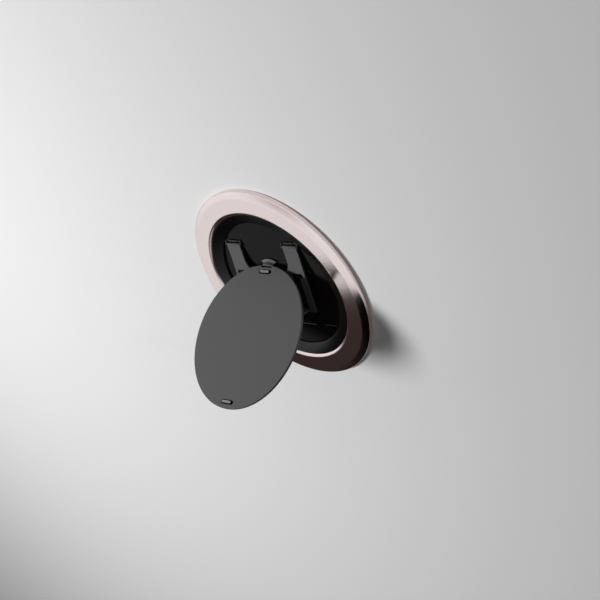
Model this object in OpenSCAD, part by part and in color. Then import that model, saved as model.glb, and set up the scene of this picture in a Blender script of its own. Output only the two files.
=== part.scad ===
// Magnetic phone grip with a disc that folds out of a shallow recess to serve as a grip or a stand.
// Millimetres. The origin is the centre of the back face, +Z points out of the back of the phone,
// and +Y points to the hinges of the straps. It is drawn with the disc propped up.

/* [Ring] */
// Outer radius of the ring
ring_r = 29; // [28.5:0.1:30]
// Height of the straight outer wall
wall_h = 1.34; // [1.1:0.02:1.5]
// Outer radius of the flat face, where the rim bevel ends
rim_r = 27.4; // [27:0.1:27.8]
// How far the middle of the rim bevel bulges out of a straight line
rim_bulge = 0.11; // [0.02:0.01:0.16]
// Height of the flat face above the back
ring_h = 2.44; // [2.4:0.02:2.6]
// Inner radius of the flat face
face_r = 23.5; // [23.4:0.05:23.6]
// Inner radius of the ring, at the foot of its bright inner lip
lip_r = 22.4; // [22.3:0.05:22.5]
// Radius of the curve of the inner lip, seen in section
lip_curve_r = 1.6; // [1.6:0.05:1.8]
// Thickness of the outer wall
wall_t = 0.95; // [0.8:0.05:1.05]
// Thickness of the top wall over the magnets
top_t = 0.79; // [0.75:0.01:0.85]
// Flat left on each eased edge of the ring
edge_ease = 0.09; // [0.04:0.01:0.12]

/* [Magnets and back] */
// Thickness of the soft pad on the back
pad_t = 0.12; // [0.08:0.01:0.15]
// Number of magnets
magnet_count = 18; // [16:1:20]
// Gap between two magnets, in degrees
magnet_gap = 1.6; // [1:0.1:3]
// Inner radius of the magnets
magnet_in_r = 23.1; // [23:0.05:23.3]
// Outer radius of the magnets
magnet_out_r = 27.3; // [27:0.1:27.5]
// Thickness of the steel ring over the magnets
shunt_t = 0.2; // [0.15:0.01:0.25]

/* [Recess] */
// Radius of the recess floor
floor_r = 19.3; // [19.2:0.1:19.5]
// Height of the floor of the recess
floor_z = 0.48; // [0.42:0.01:0.5]
// Height at which the cone meets the straight wall of the recess
cone_z = 1.13; // [1:0.01:1.3]
// Radius of the flange that the ring holds down
flange_r = 22.85; // [22.7:0.05:23]
// Width of the joint line between the ring and the cone
joint_line = 0.03; // [0.02:0.01:0.05]

/* [Straps] */
// Distance of the base hinge from the centre
base_y = 12.2; // [12.1:0.1:12.3]
// Height of all hinge pins above the back when folded
pin_z = 1; // [0.98:0.01:1.02]
// Inner edge of a strap
strap_in = 8.3; // [8.2:0.05:8.4]
// Outer edge of a strap
strap_out = 13.35; // [13.3:0.05:13.4]
// Thickness of the straps and the links
strap_t = 0.5; // [0.4:0.05:0.56]
// Where the knee hinge lies when folded
knee_y = -5.5; // [-5.6:0.05:-5.4]
// Inner edge of the leg of a strap
leg_in = 11.2; // [11.1:0.05:11.3]
// Far edge of the cross piece
cross_far = 5; // [4.9:0.05:5.1]
// Near edge of the cross piece
cross_near = 2.4; // [2:0.1:3]
// Radius of the curve between a strap and the cross piece
cross_fillet = 3; // [2.5:0.1:3.2]
// How high the straps rise when the disc is out, in degrees
strap_rise = 10; // [9.5:0.1:10.5]

/* [Links] */
// Where the disc hinge lies when folded
disc_hinge_y = 4.3; // [4.2:0.05:4.35]
// How steep the links stand when the disc is out, in degrees
link_rise = 76; // [75.5:0.1:78]

/* [Hinges] */
// Radius of a hinge pin
pin_r = 0.22; // [0.2:0.01:0.24]
// Gap round a pin in the piece that turns on it
pin_gap = 0.04; // [0.02:0.01:0.05]
// Outer radius of a knuckle
knuckle_r = 0.42; // [0.4:0.01:0.46]

/* [Disc] */
// Radius of the disc
disc_r = 19.3; // [19:0.05:19.4]
// Thickness of the disc
disc_t = 0.7; // [0.6:0.05:0.75]
// Height of the front of the disc when folded
disc_front = 2.4; // [2.38:0.01:2.44]
// Lean of the disc when it is out, in degrees
disc_lean = 55; // [54:0.1:55.5]
// Distance of the two slots from the centre of the disc
slot_y = 17.5; // [17.2:0.1:17.6]
// Length of a slot from end to end
slot_len = 4.6; // [4.2:0.1:4.8]
// Width of a slot
slot_w = 1.15; // [1:0.05:1.2]
// Half the width of the notch in the edge of the disc, in front of the tab
notch_half = 2; // [1.95:0.05:2.1]
// How far the bottom of the notch lies from the centre of the disc
notch_y = 18.65; // [18.6:0.05:18.8]

/* [Pull strip] */
// How far the bosses in the slots stand out of the front of the disc
boss_out = 0.2; // [0.05:0.05:0.3]
// How far the tab reaches from the centre of the disc
tab_tip = 21; // [20.8:0.1:21]
// Height of the top of the tab when folded
tab_top = 2.6; // [2.5:0.05:2.65]
// Half the width of the flared end of the tab
tab_half = 2.95; // [2.7:0.05:3]

/* [Hidden] */
$fn = 128;

// How far a cutting body reaches past the piece, and how deep joined bodies run into each other
cut = 1;
eps = 0.01;
// Clearance between neighbours at the hinges, and of the flat pieces inside the ring
side_gap = 0.1;
fit_gap = 0.1;

// Inner parts of the ring
under_z = ring_h - top_t;
lip_sweep = asin((face_r - lip_r) / lip_curve_r);
lip_steps = 6;
lip_z = ring_h - lip_curve_r * (1 - cos(lip_sweep));
shunt_in = flange_r + fit_gap;
shunt_out = magnet_out_r + 3 * fit_gap;
pad_r = ring_r - wall_t - fit_gap / 2;

// The knee and disc hinges where they stand with the disc out, as [y, z]
strap_len = base_y - knee_y;
link_len = disc_hinge_y - knee_y;
bore_r = pin_r + pin_gap;
knee = [base_y - strap_len * cos(strap_rise), pin_z + strap_len * sin(strap_rise)];
top_hinge = [knee[0] + link_len * cos(link_rise), knee[1] + link_len * sin(link_rise)];

// The gap in each strap holds its link, and the lug of the disc beside the neck of the link
link_in = strap_in + side_gap;
link_out = leg_in - side_gap / 2;
lug_out = link_in + 1.1;
neck_in = lug_out + side_gap;
neck_y = disc_hinge_y - 1;
link_low = pin_z - strap_t / 2;
link_high = pin_z + strap_t / 2;
foot_side = 0.6;
foot_half = 1.7;
foot_t = 0.2;

// Strap details: the gap for the link, the relief hole at its corner and the step at the hinge end
gap_top = cross_far - 0.15;
relief_at = [11.75, 4.2];
relief_r = 0.75;
shoulder = 0.6;
step_len = 1.45;
step_h = 0.07;

// Hinge clips and the windows in the floor that they come out of
ear_t = 0.4;
clip_bar_t = 0.4;
clip_low = 0.7;
clip_far = base_y + 1.3;
clip_lip = [8.9, 12.3];
window_side = 0.5;
window_far = clip_far + side_gap;
window_near = base_y - 0.6;
low_slot_half = [2.6, 0.4];
low_slot_at = [10.75, -13.1];

// Catch on the floor of the recess
catch_y = -12.6;
catch_half = 6.8;
catch_r = 0.25;
catch_foot_half = 0.5;
catch_top = floor_z + 0.2;

// Disc and pull strip
disc_ease = 0.12;
disc_back = disc_front - disc_t;
strip_t = 0.2;
slot_margin = 0.3;
strip_half = slot_len / 2 + slot_margin;
strip_end = slot_y + slot_w / 2 + slot_margin;
boss_len = 3.4;
boss_w = 0.62;
neck_half = 1.85;
tab_t = 0.3;
tab_foot_y = 19.3;
tab_foot_t = 0.3;
tab_flare_y = 20.4;
tab_curve_r = 8.5;

// Two points that ease the corner q between the lines to p and to r
function toward(q, p, d) = q + d * (p - q) / norm(p - q);
function eased(p, q, r, d) = [toward(q, p, d), toward(q, r, d)];

// A copy on the right or on the left
module right_or_left(side) {
    if (side == "left") mirror([1, 0, 0]) children();
    else children();
}

// The same on both sides
module both_sides() {
    children();
    mirror([1, 0, 0]) children();
}

// From the folded place of each moving piece to its place with the disc out
module strap_place() {
    translate([0, base_y, pin_z]) rotate([-strap_rise, 0, 0]) translate([0, -base_y, -pin_z]) children();
}

module link_place() {
    translate([0, knee[0], knee[1]]) rotate([link_rise, 0, 0]) translate([0, -knee_y, -pin_z]) children();
}

module disc_place() {
    translate([0, top_hinge[0], top_hinge[1]]) rotate([-disc_lean, 0, 0])
        translate([0, -disc_hinge_y, -pin_z]) children();
}

// A round bar along X
module bar(r, x0, x1, y, z) {
    translate([x0, y, z]) rotate([0, 90, 0]) cylinder(r = r, h = x1 - x0, $fn = 48);
}

module block(x0, x1, y0, y1, z0, z1) {
    translate([x0, y0, z0]) cube([x1 - x0, y1 - y0, z1 - z0]);
}

module ring_band(r0, r1, z0, z1, turn = 360) {
    rotate_extrude(angle = turn) translate([r0, z0]) square([r1 - r0, z1 - z0]);
}

module outer_ring() {
    foot = [ring_r, 0];
    wall_top = [ring_r, wall_h];
    rim = [rim_r, ring_h];
    across = rim - wall_top;
    rim_middle = (wall_top + rim) / 2 + rim_bulge * [across[1], -across[0]] / norm(across);
    face = [face_r, ring_h];
    lip = [for (i = [0 : lip_steps]) let (t = lip_sweep * i / lip_steps)
        [face_r - lip_curve_r * sin(t), ring_h - lip_curve_r * (1 - cos(t))]];
    color([0.86, 0.8, 0.79]) rotate_extrude() polygon(concat(
        [foot],
        eased(foot, wall_top, rim_middle, edge_ease),
        [rim_middle],
        eased(rim_middle, rim, face, edge_ease),
        lip,
        [[lip_r, under_z], [ring_r - wall_t, under_z], [ring_r - wall_t, 0]]));
}

module ring_magnets() {
    pitch = 360 / magnet_count;
    color([0.7, 0.71, 0.73]) for (i = [0 : magnet_count - 1])
        rotate([0, 0, i * pitch])
            ring_band(magnet_in_r, magnet_out_r, pad_t, under_z - shunt_t, pitch - magnet_gap);
}

module shunt_ring() {
    color([0.55, 0.56, 0.58]) ring_band(shunt_in, shunt_out, under_z - shunt_t, under_z);
}

module rear_pad() {
    color([0.12, 0.12, 0.12]) cylinder(r = pad_r, h = pad_t);
}

module cone_liner() {
    top_r = lip_r - joint_line;
    color([0.05, 0.05, 0.05]) rotate_extrude() polygon([
        [floor_r, floor_z], [floor_r, cone_z], [top_r, lip_z - joint_line], [top_r, under_z],
        [flange_r, under_z], [flange_r, floor_z]]);
}

module floor_plate() {
    color([0.1, 0.1, 0.1]) difference() {
        translate([0, 0, pad_t]) cylinder(r = flange_r, h = floor_z - pad_t);
        both_sides() {
            block(strap_in - window_side, strap_out + window_side, window_near, window_far,
                pad_t - cut, floor_z + cut);
            block(low_slot_at[0] - low_slot_half[0], low_slot_at[0] + low_slot_half[0],
                low_slot_at[1] - low_slot_half[1], low_slot_at[1] + low_slot_half[1],
                pad_t - cut, floor_z + cut);
        }
    }
}

module closing_catch() {
    color([0.6, 0.6, 0.6]) {
        block(-catch_half, catch_half, catch_y - catch_foot_half, catch_y + catch_foot_half,
            floor_z, catch_top);
        bar(catch_r, -catch_half, catch_half, catch_y, catch_top + catch_r - eps);
    }
}

// The clip has an ear at each side of the strap and a bar behind its end, raised in the middle
module hinge_clip(side) {
    ears = [strap_in - side_gap - ear_t, strap_out + side_gap];
    color([0.3, 0.3, 0.3]) right_or_left(side) difference() {
        union() {
            for (x = ears) {
                bar(knuckle_r, x, x + ear_t, base_y, pin_z);
                block(x, x + ear_t, base_y - knuckle_r, clip_far, pad_t, pin_z);
            }
            block(ears[0], ears[1] + ear_t, clip_far - clip_bar_t, clip_far, pad_t, clip_low);
            block(clip_lip[0], clip_lip[1], clip_far - clip_bar_t, clip_far, clip_low - eps, pin_z);
        }
        bar(pin_r, ears[0] - cut, ears[1] + ear_t + cut, base_y, pin_z);
    }
}

module base_pin(side) {
    color([0.5, 0.5, 0.52]) right_or_left(side)
        bar(pin_r, strap_in - side_gap - ear_t, strap_out + side_gap + ear_t, base_y, pin_z);
}

// Outline of one strap, its leg and its half of the cross piece, drawn folded
module strap_outline() {
    difference() {
        union() {
            translate([strap_in, knee_y]) square([strap_out - strap_in, base_y - shoulder - knee_y]);
            translate([strap_in + shoulder, base_y - shoulder - eps])
                square([strap_out - strap_in - 2 * shoulder, shoulder + eps]);
            for (x = [strap_in + shoulder, strap_out - shoulder])
                translate([x, base_y - shoulder]) circle(r = shoulder, $fn = 32);
            translate([-eps, cross_near]) square([strap_in + 2 * eps, cross_far - cross_near]);
            translate([strap_in - cross_fillet, cross_far - eps]) difference() {
                square(cross_fillet + eps);
                translate([0, cross_fillet + eps]) circle(r = cross_fillet);
            }
        }
        translate([strap_in - side_gap / 2, knee_y - cut])
            square([leg_in - strap_in + side_gap / 2, gap_top - knee_y + cut]);
        translate(relief_at) circle(r = relief_r, $fn = 48);
    }
}

module arm_frame() {
    color([0.34, 0.34, 0.34]) strap_place() difference() {
        both_sides() {
            translate([0, 0, link_low]) linear_extrude(strap_t) strap_outline();
            block(strap_in, strap_out, base_y - step_len, base_y, link_low - step_h, link_high + step_h);
            bar(knuckle_r, strap_in, strap_out, base_y, pin_z);
            bar(knuckle_r, leg_in, strap_out, knee_y, pin_z);
        }
        both_sides() {
            bar(bore_r, strap_in - cut, strap_out + cut, base_y, pin_z);
            bar(pin_r, leg_in - cut, strap_out + cut, knee_y, pin_z);
        }
    }
}

module knee_pin(side) {
    color([0.5, 0.5, 0.52]) strap_place() right_or_left(side) bar(pin_r, link_in, strap_out, knee_y, pin_z);
}

module link(side) {
    color([0.3, 0.3, 0.3]) link_place() right_or_left(side) difference() {
        union() {
            block(link_in, link_out, knee_y, neck_y, link_low, link_high);
            block(neck_in, link_out, neck_y - eps, disc_hinge_y, link_low, link_high);
            bar(knuckle_r, link_in, link_out, knee_y, pin_z);
            bar(knuckle_r, neck_in, link_out, disc_hinge_y, pin_z);
        }
        bar(bore_r, link_in - cut, link_out + cut, knee_y, pin_z);
        bar(pin_r, neck_in - cut, link_out + cut, disc_hinge_y, pin_z);
    }
}

module disc_pin(side) {
    color([0.5, 0.5, 0.52]) link_place() right_or_left(side)
        bar(pin_r, link_in, link_out, disc_hinge_y, pin_z);
}

// A lug hangs from a small foot on the back of the disc
module disc_lug(side) {
    color([0.3, 0.3, 0.3]) disc_place() right_or_left(side) difference() {
        union() {
            block(link_in - foot_side, lug_out, disc_hinge_y - foot_half, disc_hinge_y + foot_half,
                disc_back - foot_t, disc_back);
            block(link_in, lug_out, disc_hinge_y - knuckle_r, disc_hinge_y + knuckle_r, pin_z, disc_back);
            bar(knuckle_r, link_in, lug_out, disc_hinge_y, pin_z);
        }
        bar(bore_r, link_in - cut, lug_out + cut, disc_hinge_y, pin_z);
    }
}

module stadium(len, w, h) {
    half = (len - w) / 2;
    block(-half, half, -w / 2, w / 2, 0, h);
    for (x = [-half, half]) translate([x, 0, 0]) cylinder(r = w / 2, h = h, $fn = 32);
}

// A round plate with two slots, and a notch in its edge in front of the tab
module grip_disc() {
    color([0.33, 0.33, 0.33]) disc_place() difference() {
        translate([0, 0, disc_back]) rotate_extrude() polygon([[0, 0], [disc_r - disc_ease, 0],
            [disc_r, disc_ease], [disc_r, disc_t - disc_ease], [disc_r - disc_ease, disc_t], [0, disc_t]]);
        for (y = [-slot_y, slot_y]) translate([0, y, disc_back - cut])
            stadium(slot_len, slot_w, disc_t + 2 * cut);
        block(-notch_half, notch_half, notch_y, disc_r + cut, disc_back - cut, disc_front + cut);
    }
}

// The strip closes both slots from the back of the disc, has a boss in each and ends in the tab
module pull_strip() {
    foot_end = tab_foot_y + tab_foot_t;
    color([0.46, 0.46, 0.46]) disc_place() {
        block(-strip_half, strip_half, -strip_end, strip_end, disc_back - strip_t, disc_back);
        for (y = [-slot_y, slot_y]) translate([0, y, disc_back - eps])
            stadium(boss_len, boss_w, disc_t + boss_out + eps);
        block(-neck_half, neck_half, strip_end - eps, foot_end, disc_back - strip_t, disc_back);
        block(-neck_half, neck_half, tab_foot_y, foot_end, disc_back - eps, tab_top);
        translate([0, 0, tab_top - tab_t]) linear_extrude(tab_t) intersection() {
            translate([0, tab_tip - tab_curve_r]) circle(r = tab_curve_r);
            polygon([[-neck_half, tab_foot_y], [neck_half, tab_foot_y],
                [neck_half, tab_flare_y], [tab_half, tab_tip], [-tab_half, tab_tip],
                [-neck_half, tab_flare_y]]);
        }
    }
}

outer_ring();
ring_magnets();
shunt_ring();
rear_pad();
cone_liner();
floor_plate();
closing_catch();
hinge_clip("left");  // hinge_clip_left
hinge_clip("right");  // hinge_clip_right
base_pin("left");  // base_pin_left
base_pin("right");  // base_pin_right
arm_frame();
knee_pin("left");  // knee_pin_left
knee_pin("right");  // knee_pin_right
link("left");  // link_left
link("right");  // link_right
disc_pin("left");  // disc_pin_left
disc_pin("right");  // disc_pin_right
disc_lug("left");  // disc_lug_left
disc_lug("right");  // disc_lug_right
grip_disc();
pull_strip();
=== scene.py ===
import math
import bmesh
import bpy
from mathutils import Matrix, Vector


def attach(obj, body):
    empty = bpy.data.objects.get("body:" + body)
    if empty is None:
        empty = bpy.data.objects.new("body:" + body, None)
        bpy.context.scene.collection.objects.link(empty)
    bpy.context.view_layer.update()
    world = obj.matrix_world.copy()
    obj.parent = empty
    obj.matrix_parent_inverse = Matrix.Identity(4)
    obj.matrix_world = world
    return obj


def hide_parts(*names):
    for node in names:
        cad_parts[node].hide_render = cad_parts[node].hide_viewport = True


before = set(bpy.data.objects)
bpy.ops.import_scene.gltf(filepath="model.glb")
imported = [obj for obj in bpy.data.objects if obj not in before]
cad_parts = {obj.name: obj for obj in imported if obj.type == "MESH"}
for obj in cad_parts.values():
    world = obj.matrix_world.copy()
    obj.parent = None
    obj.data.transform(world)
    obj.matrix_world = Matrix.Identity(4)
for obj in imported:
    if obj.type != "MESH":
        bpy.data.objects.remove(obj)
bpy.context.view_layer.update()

scene = bpy.context.scene
mm = 0.001
print("frame loaded")

# Camera: it looks at a point near the floor, turned about its own line of sight
camera = {
    "aim": (3.42, -5.6, 0.08),      # mm
    "distance": 343.97,             # mm
    "azimuth": 31.557,              # degrees from +X towards +Y
    "elevation": 31.492,            # degrees above the floor
    "roll": 134.21,                 # degrees
    "lens": 78.84,                  # mm
    "sensor": 36,                   # mm
    "near": 10,                     # mm
}


def placeCamera():
    az = math.radians(camera["azimuth"])
    el = math.radians(camera["elevation"])
    away = Vector((math.cos(el) * math.cos(az), math.cos(el) * math.sin(az), math.sin(el)))
    data = bpy.data.cameras.new("camera")
    data.lens = camera["lens"]
    data.sensor_width = camera["sensor"]
    data.clip_start = camera["near"] * mm
    cam = bpy.data.objects.new("camera", data)
    scene.collection.objects.link(cam)
    level = away.to_track_quat("Z", "Y").to_matrix().to_4x4()
    rolled = level @ Matrix.Rotation(-math.radians(camera["roll"]), 4, "Z")
    rolled.translation = (Vector(camera["aim"]) + away * camera["distance"]) * mm
    cam.matrix_world = rolled
    scene.camera = cam


placeCamera()
print("camera placed")


# Shader helpers
def newMaterial(name):
    material = bpy.data.materials.new(name)
    material.use_nodes = True
    nodes = material.node_tree.nodes
    nodes.clear()
    output = nodes.new("ShaderNodeOutputMaterial")
    surface = nodes.new("ShaderNodeBsdfPrincipled")
    material.node_tree.links.new(surface.outputs[0], output.inputs["Surface"])
    return material, surface


def addNode(tree, kind, values=None, **settings):
    node = tree.nodes.new(kind)
    for key, value in settings.items():
        setattr(node, key, value)
    for key, value in (values or {}).items():
        node.inputs[key].default_value = value
    return node


def makeGrainGroup():
    # Fine even grain: a height for Bump and a value near 1 that tints the colour
    group = bpy.data.node_groups.new("fineGrain", "ShaderNodeTree")
    for name, start in (("Size mm", 0.2), ("Tint", 0.05)):
        socket = group.interface.new_socket(name=name, in_out="INPUT", socket_type="NodeSocketFloat")
        socket.default_value = start
    group.interface.new_socket(name="Height", in_out="OUTPUT", socket_type="NodeSocketFloat")
    group.interface.new_socket(name="Value", in_out="OUTPUT", socket_type="NodeSocketFloat")
    start = group.nodes.new("NodeGroupInput")
    end = group.nodes.new("NodeGroupOutput")
    place = addNode(group, "ShaderNodeTexCoord")
    scale = addNode(group, "ShaderNodeMath", {0: 1000.0}, operation="DIVIDE")
    noise = addNode(group, "ShaderNodeTexNoise", {"Detail": 2.0, "Roughness": 0.6})
    spread = addNode(group, "ShaderNodeMath", {1: 0.5}, operation="SUBTRACT")
    tint = addNode(group, "ShaderNodeMath", operation="MULTIPLY")
    value = addNode(group, "ShaderNodeMath", {1: 1.0}, operation="ADD")
    links = group.links
    links.new(start.outputs["Size mm"], scale.inputs[1])
    links.new(place.outputs["Object"], noise.inputs["Vector"])
    links.new(scale.outputs[0], noise.inputs["Scale"])
    links.new(noise.outputs[0], spread.inputs[0])
    links.new(spread.outputs[0], tint.inputs[0])
    links.new(start.outputs["Tint"], tint.inputs[1])
    links.new(tint.outputs[0], value.inputs[0])
    links.new(noise.outputs[0], end.inputs["Height"])
    links.new(value.outputs[0], end.inputs["Value"])
    return group


fineGrain = makeGrainGroup()


def grainMaterial(name, look):
    # One surface with fine grain in its colour, roughness and relief
    material, surface = newMaterial(name)
    tree = material.node_tree
    grain = addNode(tree, "ShaderNodeGroup", node_tree=fineGrain)
    grain.inputs["Size mm"].default_value = look["grainSize"]
    grain.inputs["Tint"].default_value = look["grainTint"]
    colour = addNode(tree, "ShaderNodeMix", data_type="RGBA", blend_type="MULTIPLY")
    colour.inputs[0].default_value = 1.0
    colour.inputs[6].default_value = (*look["colour"], 1)
    tree.links.new(grain.outputs["Value"], colour.inputs[7])
    rough = addNode(tree, "ShaderNodeMath", {1: look["roughness"]}, operation="MULTIPLY")
    tree.links.new(grain.outputs["Value"], rough.inputs[0])
    bump = addNode(tree, "ShaderNodeBump", {"Strength": look["bump"], "Distance": look["grainSize"] * mm})
    tree.links.new(grain.outputs["Height"], bump.inputs["Height"])
    tree.links.new(colour.outputs[2], surface.inputs["Base Color"])
    tree.links.new(rough.outputs[0], surface.inputs["Roughness"])
    tree.links.new(bump.outputs[0], surface.inputs["Normal"])
    surface.inputs["Metallic"].default_value = look.get("metallic", 0.0)
    surface.inputs["Specular IOR Level"].default_value = look.get("specular", 0.5)
    return material


looks = {
    "roseMetal": {"colour": (0.80, 0.70, 0.70), "roughness": 0.15, "metallic": 1.0,
                  "grainSize": 0.28, "grainTint": 0.22, "bump": 0.03},
    "blackLiner": {"colour": (0.001, 0.001, 0.001), "roughness": 0.16, "grainSize": 0.1,
                   "grainTint": 0.3, "bump": 0.03, "specular": 0.3},
    # painted fill light: the liner's upright wall is lighter than the liner so its shaded side does not go
    # black
    "footPaintedFill": {"colour": (0.06, 0.06, 0.06), "roughness": 0.4, "grainSize": 0.1,
                  "grainTint": 0.2, "bump": 0.04, "specular": 0.1},
    "glossFloor": {"colour": (0.0195, 0.0195, 0.0195), "roughness": 0.3, "grainSize": 0.3,
                   "grainTint": 0.2, "bump": 0.01, "specular": 0.0},
    "clipBlack": {"colour": (0.03, 0.03, 0.03), "roughness": 0.35, "grainSize": 0.2,
                  "grainTint": 0.2, "bump": 0.02, "specular": 0.2},
    "strapGrey": {"colour": (0.1, 0.1, 0.1), "roughness": 0.5, "grainSize": 0.1,
                  "grainTint": 0.25, "bump": 0.12, "specular": 0.06},
    "discGrey": {"colour": (0.094, 0.094, 0.094), "roughness": 0.5, "grainSize": 0.12,
                 "grainTint": 0.25, "bump": 0.12, "specular": 0.25},
    "stripGrey": {"colour": (0.27, 0.27, 0.27), "roughness": 0.5, "grainSize": 0.1,
                  "grainTint": 0.2, "bump": 0.04, "specular": 0.1},
    # painted shade: the tab is a darker copy of the strip's grey, standing in for the shade on its sloping
    # body
    "tabPaintedShade": {"colour": (0.13, 0.13, 0.13), "roughness": 0.4, "grainSize": 0.1,
                "grainTint": 0.2, "bump": 0.04, "specular": 0.2},
    # painted shade: black for the faces deep in the slots, standing in for the shade there
    "slotPaintedShade": {"colour": (0.01, 0.01, 0.01), "roughness": 0.5, "grainSize": 0.1,
                  "grainTint": 0.2, "bump": 0.04, "specular": 0.1},
    "pinSteel": {"colour": (0.32, 0.32, 0.33), "roughness": 0.3, "metallic": 1.0, "grainSize": 0.1,
                 "grainTint": 0.1, "bump": 0.05},
    "catchSteel": {"colour": (0.05, 0.05, 0.05), "roughness": 0.25, "metallic": 1.0, "grainSize": 0.1,
                   "grainTint": 0.1, "bump": 0.05},
    "magnetPlate": {"colour": (0.6, 0.6, 0.6), "roughness": 0.3, "metallic": 1.0, "grainSize": 0.1,
                    "grainTint": 0.1, "bump": 0.05},
    "softPad": {"colour": (0.02, 0.02, 0.02), "roughness": 0.7, "grainSize": 0.1, "grainTint": 0.4,
                "bump": 0.3},
}
materials = {name: grainMaterial(name, look) for name, look in looks.items()}

# The hidden or plain pieces stay as they are in the frame and get only a finish
finishes = {
    "ring_magnets": "magnetPlate", "shunt_ring": "pinSteel", "rear_pad": "softPad",
    "floor_plate": "glossFloor", "base_pin_left": "pinSteel", "base_pin_right": "pinSteel",
    "knee_pin_left": "pinSteel", "knee_pin_right": "pinSteel",
    "disc_pin_left": "pinSteel", "disc_pin_right": "pinSteel",
}
for nodeName, finish in finishes.items():
    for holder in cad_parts[nodeName].material_slots:
        holder.material = materials[finish]
print("finishes assigned")


# Mesh helpers: the forms of the object are drawn in millimetres
mergeReach = 1e-4
cornerReach = 1e-3
barSides = 40


def spinCorners(corners, steps):
    # A closed section turned about Z; each corner then gets its own rounding
    form = bmesh.new()
    points = [form.verts.new((radius, 0, height)) for radius, height, width, cuts in corners]
    for first, second in zip(points, points[1:] + points[:1]):
        form.edges.new((first, second))
    bmesh.ops.spin(form, geom=form.verts[:] + form.edges[:], cent=(0, 0, 0), axis=(0, 0, 1),
                   angle=2 * math.pi, steps=steps, use_merge=True)
    bmesh.ops.remove_doubles(form, verts=form.verts, dist=mergeReach)
    bmesh.ops.recalc_face_normals(form, faces=form.faces)
    for radius, height, width, cuts in corners:
        if width:
            roundEdges(form, edgesAt(form, radius, height), width, cuts)
    return form


def edgesAt(form, radius, height):
    def near(vert):
        out = math.hypot(vert.co.x, vert.co.y)
        return abs(out - radius) < cornerReach and abs(vert.co.z - height) < cornerReach
    return [edge for edge in form.edges if all(near(vert) for vert in edge.verts)]


def sharpEdges(geometry, least=40):
    return [edge for edge in geometry if isinstance(edge, bmesh.types.BMEdge)
            and len(edge.link_faces) == 2 and edge.calc_face_angle() > math.radians(least)]


def roundEdges(form, edges, width, cuts=2):
    bmesh.ops.bevel(form, geom=edges, offset=width, offset_type="OFFSET", affect="EDGES",
                    segments=cuts, profile=0.5, material=-1, clamp_overlap=True)


def addLoop(form, points, height):
    verts = [form.verts.new((x, y, height)) for x, y in points]
    return [form.edges.new(pair) for pair in zip(verts, verts[1:] + verts[:1])]


def arc(centre, radius, start, end, steps):
    turns = (math.radians(start + (end - start) * i / steps) for i in range(steps + 1))
    return [(centre[0] + radius * math.cos(t), centre[1] + radius * math.sin(t)) for t in turns]


def stadium(centreY, length, width, steps=10):
    half = (length - width) / 2
    return arc((half, centreY), width / 2, -90, 90, steps) + arc((-half, centreY), width / 2, 90, 270, steps)


def addPlate(form, outlines, low, high, ease, cuts=2):
    # A flat plate with eased edges; the first outline is its edge and the others are holes
    edges = [edge for outline in outlines for edge in addLoop(form, outline, low)]
    if len(outlines) > 1:
        filled = bmesh.ops.triangle_fill(form, use_beauty=True, edges=edges)["geom"]
    else:
        filled = bmesh.ops.contextual_create(form, geom=edges)["faces"]
    faces = [face for face in filled if isinstance(face, bmesh.types.BMFace)]
    grown = bmesh.ops.extrude_face_region(form, geom=faces, use_keep_orig=True)["geom"]
    verts = [vert for vert in grown if isinstance(vert, bmesh.types.BMVert)]
    bmesh.ops.translate(form, verts=verts, vec=(0, 0, high - low))
    island = list({face for vert in verts for face in vert.link_faces} | set(faces))
    bmesh.ops.recalc_face_normals(form, faces=island)
    if ease:
        roundEdges(form, sharpEdges({edge for face in island for edge in face.edges}), ease, cuts)


def addBlock(form, low, high, ease):
    size = [b - a for a, b in zip(low, high)]
    middle = [(a + b) / 2 for a, b in zip(low, high)]
    place = Matrix.Translation(middle) @ Matrix.Diagonal((*size, 1))
    verts = bmesh.ops.create_cube(form, size=1, matrix=place)["verts"]
    roundEdges(form, list({edge for vert in verts for edge in vert.link_edges}), ease)


def addBar(form, radius, start, end, y, z, ease=0.05):
    # A round bar along X
    place = Matrix.Translation(((start + end) / 2, y, z)) @ Matrix.Rotation(math.pi / 2, 4, "Y")
    verts = bmesh.ops.create_cone(form, cap_ends=True, segments=barSides, radius1=radius, radius2=radius,
                                  depth=end - start, matrix=place)["verts"]
    roundEdges(form, sharpEdges({edge for vert in verts for edge in vert.link_edges}), ease)


def finishPiece(form, name, finish, body, node, place=None):
    bmesh.ops.transform(form, matrix=Matrix.Scale(mm, 4) @ (place or Matrix()), verts=form.verts)
    mesh = bpy.data.meshes.new(name)
    form.to_mesh(mesh)
    form.free()
    mesh.polygons.foreach_set("use_smooth", [True] * len(mesh.polygons))
    mesh.materials.append(materials[finish])
    piece = bpy.data.objects.new(name, mesh)
    scene.collection.objects.link(piece)
    weigh = piece.modifiers.new("flatFaces", "WEIGHTED_NORMAL")
    weigh.weight = 100
    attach(piece, body)
    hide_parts(node)
    return piece


# Where the hinges are, and how far each moving piece stands from its folded place
hinges = {"baseY": 12.2, "pinZ": 1.0, "kneeY": -5.5, "discY": 4.3,     # mm
          "strapRise": 10, "linkRise": 76, "discLean": 55,             # degrees
          "barRadius": 0.42, "strapIn": 8.3, "strapOut": 13.35, "legIn": 11.2, "sideGap": 0.1}


def turned(folded, now, degrees):
    # The folded pivot goes to its place now, and the piece turns about it
    turn = Matrix.Rotation(math.radians(degrees), 4, "X")
    return Matrix.Translation((0, *now)) @ turn @ Matrix.Translation((0, -folded, -hinges["pinZ"]))


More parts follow.
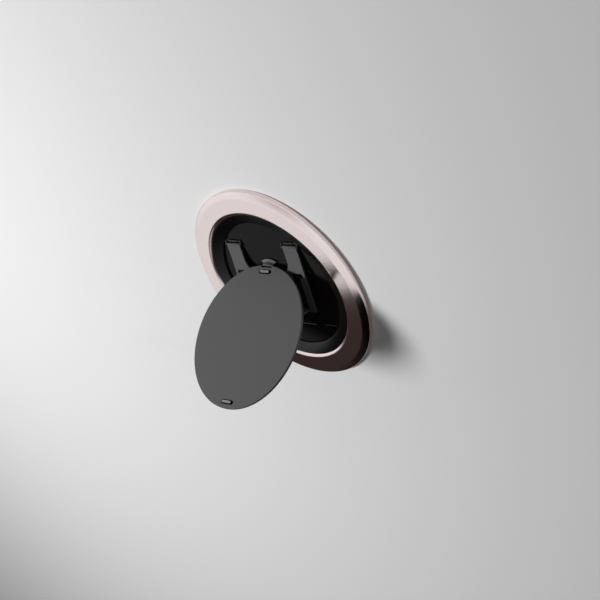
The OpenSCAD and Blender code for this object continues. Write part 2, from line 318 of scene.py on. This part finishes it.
strapRun = hinges["baseY"] - hinges["kneeY"]
linkRun = hinges["discY"] - hinges["kneeY"]
rise, steep = math.radians(hinges["strapRise"]), math.radians(hinges["linkRise"])
knee = (hinges["baseY"] - strapRun * math.cos(rise), hinges["pinZ"] + strapRun * math.sin(rise))
discHinge = (knee[0] + linkRun * math.cos(steep), knee[1] + linkRun * math.sin(steep))
strapPlace = turned(hinges["baseY"], (hinges["baseY"], hinges["pinZ"]), -hinges["strapRise"])
linkPlace = turned(hinges["kneeY"], knee, hinges["linkRise"])
discPlace = turned(hinges["discY"], discHinge, -hinges["discLean"])

# Outer ring: radius and height of each corner, then the width and steps of its rounding
outerRing = {
    "steps": 256,
    "corners": [(29.0, 0.0, 0.08, 2), (29.0, 1.34, 0.16, 4), (28.26, 1.98, 0.60, 6), (27.4, 2.44, 0.10, 3),
                (22.86, 2.44, 0.62, 10), (22.4, 2.0, 0, 0), (22.4, 1.65, 0, 0),
                (28.05, 1.65, 0, 0), (28.05, 0.0, 0.05, 1)],
}
finishPiece(spinCorners(outerRing["corners"], outerRing["steps"]), "outerRing", "roseMetal",
            "ring", "outer_ring")

# Cone liner: the finger recess, with its flange under the ring; its low upright wall is painted lighter grey
# than the liner, a painted fill light on a wall that lies in shade
coneLiner = {
    "steps": 200, "footReach": 19.36, "footSteep": 0.5,
    "corners": [(19.3, 0.48, 0, 0), (19.3, 1.13, 0.12, 3), (22.37, 1.97, 0.07, 3), (22.37, 1.65, 0, 0),
                (22.85, 1.65, 0, 0), (22.85, 0.48, 0, 0)],
}
cone = finishPiece(spinCorners(coneLiner["corners"], coneLiner["steps"]), "coneLiner", "blackLiner",
                   "ring", "cone_liner")
# The low upright wall takes the lighter grey: painted fill light where the wall lies in shade
cone.data.materials.append(materials["footPaintedFill"])
for face in cone.data.polygons:
    inside = face.center.xy.length < coneLiner["footReach"] * mm
    face.material_index = int(inside and abs(face.normal.z) < coneLiner["footSteep"])
print("ring and recess made")

# Arm frame: two straps and the cross piece between them
armFrame = {
    "thickness": 0.5, "ease": 0.06, "crossFar": 5.0, "crossNear": 2.4, "fillet": 3.0, "shoulder": 0.6,
    "slotTop": 4.85, "slotIn": 8.25, "relief": (11.75, 4.2), "reliefRadius": 0.75,
    "stepLength": 1.45, "stepHeight": 0.07,
    "reliefSteps": 20, "shoulderSteps": 5, "filletSteps": 12,
}


def strapOutline():
    # The right half: up the slot, round the relief hole, down the leg and up the outer side
    inner, outer, leg = hinges["strapIn"], hinges["strapOut"], hinges["legIn"]
    far, near, fillet = armFrame["crossFar"], armFrame["crossNear"], armFrame["fillet"]
    shoulder, top, steps = armFrame["shoulder"], hinges["baseY"], armFrame["shoulderSteps"]
    holeX, holeY = armFrame["relief"]
    mouth = math.degrees(math.acos((leg - holeX) / armFrame["reliefRadius"]))
    points = [(0, near), (armFrame["slotIn"], near), (armFrame["slotIn"], armFrame["slotTop"]),
              (leg, armFrame["slotTop"])]
    points += arc((holeX, holeY), armFrame["reliefRadius"], mouth, -mouth, armFrame["reliefSteps"])
    points += [(leg, hinges["kneeY"]), (outer, hinges["kneeY"])]
    points += arc((outer - shoulder, top - shoulder), shoulder, 0, 90, steps)
    points += arc((inner + shoulder, top - shoulder), shoulder, 90, 180, steps)
    points += arc((inner - fillet, far + fillet), fillet, 0, -90, armFrame["filletSteps"])
    return points + [(0, far)]


def makeArmFrame():
    form = bmesh.new()
    half = armFrame["thickness"] / 2
    z = hinges["pinZ"]
    right = strapOutline()
    left = [(-x, y) for x, y in reversed(right[1:-1])]
    addPlate(form, [right + left], z - half, z + half, armFrame["ease"])
    step = half + armFrame["stepHeight"]
    for side in (1, -1):
        inner, outer = sorted((side * hinges["strapIn"], side * hinges["strapOut"]))
        legs = sorted((side * hinges["legIn"], side * hinges["strapOut"]))
        addBlock(form, (inner, hinges["baseY"] - armFrame["stepLength"], z - step),
                 (outer, hinges["baseY"], z + step), armFrame["ease"])
        addBar(form, hinges["barRadius"], inner, outer, hinges["baseY"], z)
        addBar(form, hinges["barRadius"], *legs, hinges["kneeY"], z)
    return form


finishPiece(makeArmFrame(), "armFrame", "strapGrey", "straps", "arm_frame", strapPlace)

# Hinge clips: an ear at each side of a strap and a bar behind its end, raised in the middle
hingeClip = {"ear": 0.4, "floor": 0.12, "far": 13.5, "bar": 0.4, "low": 0.7, "lip": (8.9, 12.3), "ease": 0.05}


def makeHingeClip(side):
    form = bmesh.new()
    y, z, gap = hinges["baseY"], hinges["pinZ"], hinges["sideGap"]
    ears = (hinges["strapIn"] - gap - hingeClip["ear"], hinges["strapOut"] + gap)
    for x in ears:
        start, end = sorted((side * x, side * (x + hingeClip["ear"])))
        addBar(form, hinges["barRadius"], start, end, y, z)
        addBlock(form, (start, y - hinges["barRadius"], hingeClip["floor"]), (end, hingeClip["far"], z),
                 hingeClip["ease"])
    near, far = hingeClip["far"] - hingeClip["bar"], hingeClip["far"]
    start, end = sorted((side * ears[0], side * (ears[1] + hingeClip["ear"])))
    addBlock(form, (start, near, hingeClip["floor"]), (end, far, hingeClip["low"]), hingeClip["ease"])
    start, end = sorted(side * x for x in hingeClip["lip"])
    addBlock(form, (start, near, hingeClip["floor"]), (end, far, z), hingeClip["ease"])
    return form


# Links between the straps and the disc
linkSizes = {"thickness": 0.5, "ease": 0.06, "neckIn": 9.3, "neckLength": 1.0}


def makeLink(side):
    form = bmesh.new()
    inner, outer = hinges["strapIn"] + hinges["sideGap"], hinges["legIn"] - hinges["sideGap"] / 2
    low, high, neckIn = hinges["kneeY"], hinges["discY"], linkSizes["neckIn"]
    neck = high - linkSizes["neckLength"]
    outline = [(inner, low), (outer, low), (outer, high), (neckIn, high), (neckIn, neck), (inner, neck)]
    half = linkSizes["thickness"] / 2
    z = hinges["pinZ"]
    addPlate(form, [[(side * x, y) for x, y in outline]], z - half, z + half, linkSizes["ease"])
    addBar(form, hinges["barRadius"], *sorted((side * inner, side * outer)), low, z)
    addBar(form, hinges["barRadius"], *sorted((side * neckIn, side * outer)), high, z)
    return form


# Lugs: each hangs from a small foot on the back of the disc
lugSizes = {"width": 1.1, "footSide": 0.6, "footHalf": 1.7, "footThickness": 0.2, "ease": 0.05}


def makeLug(side):
    form = bmesh.new()
    inner = hinges["strapIn"] + hinges["sideGap"]
    outer = inner + lugSizes["width"]
    y, z, back = hinges["discY"], hinges["pinZ"], discSizes["back"]
    footIn, footOut = sorted((side * (inner - lugSizes["footSide"]), side * outer))
    start, end = sorted((side * inner, side * outer))
    addBlock(form, (footIn, y - lugSizes["footHalf"], back - lugSizes["footThickness"]),
             (footOut, y + lugSizes["footHalf"], back), lugSizes["ease"])
    radius = hinges["barRadius"]
    addBlock(form, (start, y - radius, z), (end, y + radius, back), lugSizes["ease"])
    addBar(form, radius, start, end, y, z)
    return form


# Disc: a flat round plate with two short slots and a notch in its edge in front of the tab
discSizes = {"radius": 19.3, "back": 1.7, "front": 2.4, "ease": 0.1, "steps": 256,
             "slotY": 17.5, "slotLength": 4.6, "slotWidth": 1.15, "notchHalf": 2.0, "notchY": 18.65}


def makeDisc():
    form = bmesh.new()
    half, bottom = discSizes["notchHalf"], discSizes["notchY"]
    away = math.degrees(math.asin(half / discSizes["radius"]))
    edge = arc((0, 0), discSizes["radius"], 90 + away, 450 - away, discSizes["steps"])
    edge += [(half, bottom), (-half, bottom)]
    slots = [stadium(side * discSizes["slotY"], discSizes["slotLength"], discSizes["slotWidth"])
             for side in (1, -1)]
    addPlate(form, [edge] + slots, discSizes["back"], discSizes["front"], discSizes["ease"], 3)
    return form


finishPiece(makeDisc(), "gripDisc", "discGrey", "disc", "grip_disc", discPlace)

for side, word in ((1, "Right"), (-1, "Left")):
    end = word.lower()
    finishPiece(makeHingeClip(side), "hingeClip" + word, "clipBlack",
                "ring", "hinge_clip_" + end)
    finishPiece(makeLink(side), "link" + word, "strapGrey",
                "links", "link_" + end, linkPlace)
    finishPiece(makeLug(side), "discLug" + word, "strapGrey",
                "disc", "disc_lug_" + end, discPlace)
print("straps, links and disc made")

# Pull strip: it closes both slots from the back of the disc, has a boss in each and ends in the tab
pullStrip = {
    "thickness": 0.2, "half": 2.6, "end": 18.375, "neckHalf": 1.85, "ease": 0.04, "bury": 0.02,
    "bossLength": 3.4, "bossWidth": 0.62, "bossOut": 0.3, "bossEase": 0.05,
    "footY": 19.45, "footThickness": 0.15, "stripEnd": 19.0,
    "tabTip": 21.0, "tabHalf": 2.95, "tabTop": 2.57, "tabCurve": 8.5, "tabCrown": 0.6, "tabDip": 0.28,
    "tabThickness": 0.26, "tabEase": 0.06, "tabGrid": (16, 10), "riseShare": 0.2,
    "evenFlare": 0.45, "flarePower": 5,
}


def makeTab(form):
    # A grid bent to the tab: the rise at its foot, then a flared top that dips and is crowned
    across, along = pullStrip["tabGrid"]
    made = bmesh.ops.create_grid(form, x_segments=across, y_segments=along, size=1)["verts"]
    foot, low = pullStrip["neckHalf"], discSizes["back"] - pullStrip["thickness"] / 2
    riseShare, even = pullStrip["riseShare"], pullStrip["evenFlare"]
    for vert in made:
        u, s = vert.co.x, (vert.co.y + 1) / 2
        v = max(0, (s - riseShare) / (1 - riseShare))
        flare = even * v + (1 - even) * v ** pullStrip["flarePower"]
        x = u * (foot + (pullStrip["tabHalf"] - foot) * flare)
        tip = pullStrip["tabTip"] - x * x / (2 * pullStrip["tabCurve"])
        dip = pullStrip["tabDip"] * math.sin(math.pi * v)
        top = pullStrip["tabTop"] - pullStrip["tabCrown"] * u * u - dip
        vert.co = (x, pullStrip["footY"] + (tip - pullStrip["footY"]) * v,
                   low + (top - low) * min(1, s / riseShare))
    faces = list({face for vert in made for face in vert.link_faces})
    bmesh.ops.recalc_face_normals(form, faces=faces)
    grown = bmesh.ops.solidify(form, geom=faces, thickness=pullStrip["tabThickness"])["geom"]
    island = list({face for face in grown if isinstance(face, bmesh.types.BMFace)} | set(faces))
    bmesh.ops.recalc_face_normals(form, faces=island)
    roundEdges(form, sharpEdges({edge for face in island for edge in face.edges}), pullStrip["tabEase"], 2)


def makePullStrip():
    form = bmesh.new()
    back, front = discSizes["back"], discSizes["front"]
    half, end, neck = pullStrip["half"], pullStrip["end"], pullStrip["neckHalf"]
    foot = pullStrip["footY"] + pullStrip["footThickness"]
    right = [(half, -end), (half, end), (neck, end), (neck, foot)]
    left = [(-x, y) for x, y in reversed(right)]
    addPlate(form, [right + left], back - pullStrip["thickness"], back, pullStrip["ease"])
    for side in (1, -1):
        boss = stadium(side * discSizes["slotY"], pullStrip["bossLength"], pullStrip["bossWidth"])
        addPlate(form, [boss], back - pullStrip["bury"], front + pullStrip["bossOut"],
                 pullStrip["bossEase"], 3)
    makeTab(form)
    return form


# The bosses are light; the tab and the back of the strip are painted darker grey, a painted shade on the tab,
# and what lies deep in the slots is painted black as painted shade
strip = finishPiece(makePullStrip(), "pullStrip", "stripGrey", "disc", "pull_strip", discPlace)
strip.data.materials.append(materials["tabPaintedShade"])
strip.data.materials.append(materials["slotPaintedShade"])
toFolded = discPlace.inverted()
for face in strip.data.polygons:
    spot = toFolded @ (face.center / mm)
    # the tab and the back of the strip take the darker grey of painted shade
    if spot.y > pullStrip["stripEnd"] or spot.z < discSizes["back"] - pullStrip["bury"]:
        face.material_index = 1
    # faces below the disc's front, deep in the slots, take the black of painted shade
    elif spot.z < discSizes["front"]:
        face.material_index = 2

# Catch: a low bar on the floor that the disc snaps on to
catchSizes = {"y": -12.6, "half": 6.8, "floor": 0.48, "foot": 0.2, "footHalf": 0.5,
              "radius": 0.25, "bury": 0.01, "ease": 0.04}


def makeCatch():
    form = bmesh.new()
    top = catchSizes["floor"] + catchSizes["foot"]
    half = catchSizes["half"]
    addBlock(form, (-half, catchSizes["y"] - catchSizes["footHalf"], catchSizes["floor"]),
             (half, catchSizes["y"] + catchSizes["footHalf"], top), catchSizes["ease"])
    middle = top + catchSizes["radius"] - catchSizes["bury"]
    addBar(form, catchSizes["radius"], -half, half, catchSizes["y"], middle)
    return form


finishPiece(makeCatch(), "closingCatch", "catchSteel", "ring", "closing_catch")
print("strip and catch made")

# Floor, lamps and world
stageLook = {"size": 3000, "colour": (0.76, 0.76, 0.76), "roughness": 0.6, "specular": 0.2, "drop": 0.02}


def makeFloor():
    form = bmesh.new()
    bmesh.ops.create_grid(form, x_segments=1, y_segments=1, size=stageLook["size"] / 2 * mm)
    bmesh.ops.translate(form, verts=form.verts, vec=(0, 0, -stageLook["drop"] * mm))
    mesh = bpy.data.meshes.new("floor")
    form.to_mesh(mesh)
    form.free()
    floor = bpy.data.objects.new("floor", mesh)
    scene.collection.objects.link(floor)
    material, surface = newMaterial("paleFloor")
    surface.inputs["Base Color"].default_value = (*stageLook["colour"], 1)
    surface.inputs["Roughness"].default_value = stageLook["roughness"]
    surface.inputs["Specular IOR Level"].default_value = stageLook["specular"]
    mesh.materials.append(material)


# The key gives the shadows; the low card is a soft glow in the dark side of the room
lamps = {
    "key": {"from": (-0.63, 0.19, 1.0), "distance": 450, "size": (110, 110), "radiance": 48.0,
            "mirrored": False},
    "lowCard": {"from": (-0.38, -0.66, 0.65), "distance": 400, "size": (150, 150), "radiance": 0.45,
                "mirrored": True},
}


def makeLamp(name, lamp):
    width, height = (side * mm for side in lamp["size"])
    data = bpy.data.lights.new(name, "AREA")
    data.shape = "RECTANGLE"
    data.size, data.size_y = width, height
    data.energy = lamp["radiance"] * math.pi * width * height
    obj = bpy.data.objects.new(name, data)
    scene.collection.objects.link(obj)
    away = Vector(lamp["from"]).normalized()
    place = Matrix.Translation(away * lamp["distance"] * mm)
    obj.matrix_world = place @ away.to_track_quat("Z", "Y").to_matrix().to_4x4()
    obj.visible_camera = False
    obj.visible_glossy = lamp["mirrored"]


# The room: pale on one side and above, dark on the other, as the ring mirrors it, with a dimmer
# patch high up that gives the smudge on the bevel
room = {
    "axis": (0.0, 1.0, -0.15),
    "stops": [(-0.85, (0.002, 0.002, 0.002)), (-0.70, (0.02, 0.015, 0.015)), (-0.64, (0.04, 0.028, 0.028)),
              (-0.60, (0.10, 0.09, 0.09)), (-0.57, (0.45, 0.45, 0.45)), (-0.55, (0.80, 0.80, 0.80)),
              (-0.45, (0.88, 0.88, 0.88)), (0.30, (1.0, 1.0, 1.0))],
    "patch": (-0.17, 0.62, 0.76),
    "patchStops": [(0.80, (1.0, 1.0, 1.0)), (0.90, (0.93, 0.92, 0.92)), (0.96, (0.80, 0.77, 0.77)),
                   (1.0, (0.64, 0.59, 0.59))],
    "diffuse": 0.13, "camera": 0.9,
}


def addRamp(tree, source, axis, steps, low, high):
    # A colour ramp over how far the source vector reaches along an axis
    along = addNode(tree, "ShaderNodeVectorMath", {1: axis}, operation="DOT_PRODUCT")
    span = addNode(tree, "ShaderNodeMapRange", {1: low, 2: high})
    ramp = tree.nodes.new("ShaderNodeValToRGB")
    stops = ramp.color_ramp.elements
    while len(stops) < len(steps):
        stops.new(0.5)
    for stop, (position, colour) in zip(stops, steps):
        stop.position = (position - low) / (high - low)
        stop.color = (*colour, 1)
    tree.links.new(source, along.inputs[0])
    tree.links.new(along.outputs["Value"], span.inputs[0])
    tree.links.new(span.outputs[0], ramp.inputs[0])
    return ramp.outputs[0]


# The flag: a dark card beside the ring that only reflections see
flag = {
    "y": -30.0, "outline": [(-98, 0), (60, 0), (60, 53), (0, 53)], "glowEnd": 30.0,      # mm
    "stops": [(4.0, (0.038, 0.026, 0.026)), (14.0, (0.013, 0.009, 0.009)), (24.0, (0.0015, 0.001, 0.001))],
}


def makeFlag():
    form = bmesh.new()
    form.faces.new([form.verts.new((x * mm, flag["y"] * mm, z * mm)) for x, z in flag["outline"]])
    mesh = bpy.data.meshes.new("flag")
    form.to_mesh(mesh)
    form.free()
    card = bpy.data.objects.new("flag", mesh)
    scene.collection.objects.link(card)
    card.visible_camera = card.visible_diffuse = card.visible_shadow = False
    material, surface = newMaterial("flagCard")
    tree = material.node_tree
    place = tree.nodes.new("ShaderNodeTexCoord")
    inMm = addNode(tree, "ShaderNodeVectorMath", {3: 1 / mm}, operation="SCALE")
    tree.links.new(place.outputs["Object"], inMm.inputs[0])
    glow = addRamp(tree, inMm.outputs[0], (1.0, 0.0, 0.0), flag["stops"], 0.0, flag["glowEnd"])
    tree.links.new(glow, surface.inputs["Emission Color"])
    surface.inputs["Emission Strength"].default_value = 1.0
    surface.inputs["Base Color"].default_value = (0, 0, 0, 1)
    surface.inputs["Specular IOR Level"].default_value = 0.0
    mesh.materials.append(material)


def makeWorld():
    world = bpy.data.worlds.new("studio")
    world.use_nodes = True
    tree = world.node_tree
    background = tree.nodes["Background"]
    place = tree.nodes.new("ShaderNodeTexCoord")
    path = tree.nodes.new("ShaderNodeLightPath")
    side = addRamp(tree, place.outputs["Generated"], room["axis"], room["stops"], -1.0, 1.0)
    patch = addRamp(tree, place.outputs["Generated"], room["patch"], room["patchStops"], 0.0, 1.0)
    ramp = addNode(tree, "ShaderNodeMix", data_type="RGBA", blend_type="MULTIPLY")
    ramp.inputs[0].default_value = 1.0
    seen = addNode(tree, "ShaderNodeMix", data_type="RGBA")
    seen.inputs[7].default_value = (room["camera"], room["camera"], room["camera"], 1)
    either = addNode(tree, "ShaderNodeMath", operation="MAXIMUM")
    level = addNode(tree, "ShaderNodeMix", {2: room["diffuse"], 3: 1.0}, data_type="FLOAT")
    links = tree.links
    links.new(side, ramp.inputs[6])
    links.new(patch, ramp.inputs[7])
    links.new(ramp.outputs[2], seen.inputs[6])
    links.new(path.outputs["Is Camera Ray"], seen.inputs[0])
    links.new(seen.outputs[2], background.inputs["Color"])
    links.new(path.outputs["Is Camera Ray"], either.inputs[0])
    links.new(path.outputs["Is Glossy Ray"], either.inputs[1])
    links.new(either.outputs[0], level.inputs[0])
    links.new(level.outputs[0], background.inputs["Strength"])
    scene.world = world


makeFloor()
makeFlag()
for lampName, lampPlan in lamps.items():
    makeLamp(lampName, lampPlan)
makeWorld()
scene.view_settings.view_transform = "Standard"
print("stage and lamps ready")
